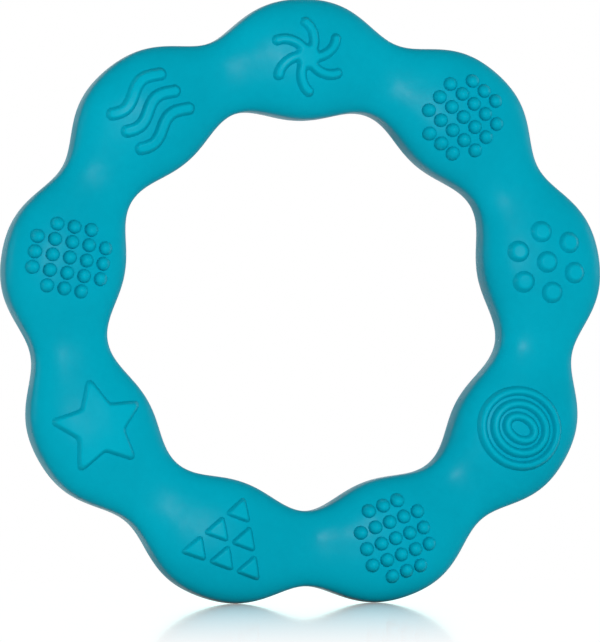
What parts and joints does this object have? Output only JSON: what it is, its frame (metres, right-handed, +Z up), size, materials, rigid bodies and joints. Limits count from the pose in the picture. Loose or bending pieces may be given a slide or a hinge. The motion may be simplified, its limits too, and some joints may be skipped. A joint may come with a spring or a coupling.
{
  "type": "teething ring",
  "caption": "Soft nine-lobed ring for a teething baby to hold and chew, with a different raised pattern on each lobe, front and back.",
  "frame": {"origin": "on the surface that the ring stands on, midway between its two lowest lobes, in the ring's middle plane", "axes": "+Y along the ring's axis, from the front face to the back face; +Z up, through the top lobe; +X to the right seen from the front"},
  "size_m": [0.1004, 0.0152, 0.0994],
  "materials": {
    "silicone": "satin soft silicone, teal"
  },
  "bodies": {
    "root": {"ring_body": "silicone", "front_dots_right": "silicone", "front_nubs_upper_right": "silicone", "front_pinwheel_top": "silicone", "front_waves_upper_left": "silicone", "front_nubs_left": "silicone", "front_star_lower_left": "silicone", "front_triangles_bottom_left": "silicone", "front_nubs_bottom_right": "silicone", "front_ovals_lower_right": "silicone", "back_dots_right": "silicone", "back_nubs_upper_right": "silicone", "back_pinwheel_top": "silicone", "back_waves_upper_left": "silicone", "back_nubs_left": "silicone", "back_star_lower_left": "silicone", "back_triangles_bottom_left": "silicone", "back_nubs_bottom_right": "silicone", "back_ovals_lower_right": "silicone"}
  },
  "joints": []
}
